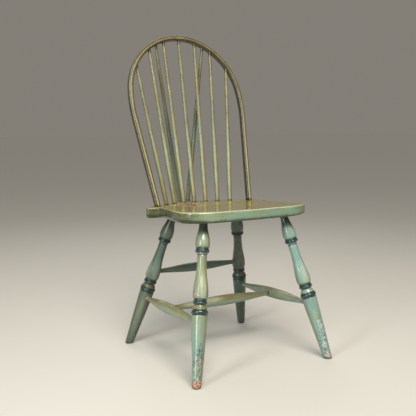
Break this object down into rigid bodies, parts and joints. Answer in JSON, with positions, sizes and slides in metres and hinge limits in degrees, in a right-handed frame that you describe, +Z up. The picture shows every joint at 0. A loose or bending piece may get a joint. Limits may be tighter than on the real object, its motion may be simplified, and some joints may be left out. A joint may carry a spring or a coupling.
{
  "type": "braced bow-back side chair",
  "caption": "Wooden side chair with a bent hoop back, slim spindles, a shaped plank seat, splayed turned legs and stretchers, in worn green paint.",
  "frame": {"origin": "on the floor, under the middle of the chair's box", "axes": "+Z up, -Y is the chair's front (the way a sitter faces), +X to the right of someone who looks at its front"},
  "size_m": [0.4801, 0.5216, 0.981],
  "materials": {
    "seat_paint": "olive-brown glazed paint, rubbed and peeling, semi-gloss",
    "back_paint": "olive-green glazed paint with dark lines, semi-gloss",
    "leg_paint": "sage-green glazed paint, chipped at the feet, semi-gloss",
    "glide_steel": "dark tarnished steel"
  },
  "bodies": {
    "root": {"seat": "seat_paint", "bow": "back_paint", "spindle_1": "back_paint", "spindle_2": "back_paint", "spindle_3": "back_paint", "spindle_4": "back_paint", "spindle_5": "back_paint", "spindle_6": "back_paint", "spindle_7": "back_paint", "brace_spindle_left": "back_paint", "brace_spindle_right": "back_paint", "front_leg_left": "leg_paint", "front_leg_right": "leg_paint", "rear_leg_left": "leg_paint", "rear_leg_right": "leg_paint", "side_stretcher_left": "leg_paint", "side_stretcher_right": "leg_paint", "cross_stretcher": "leg_paint", "rear_stretcher": "leg_paint", "front_glide_left": "glide_steel", "front_glide_right": "glide_steel", "rear_glide_left": "glide_steel", "rear_glide_right": "glide_steel"}
  },
  "joints": []
}
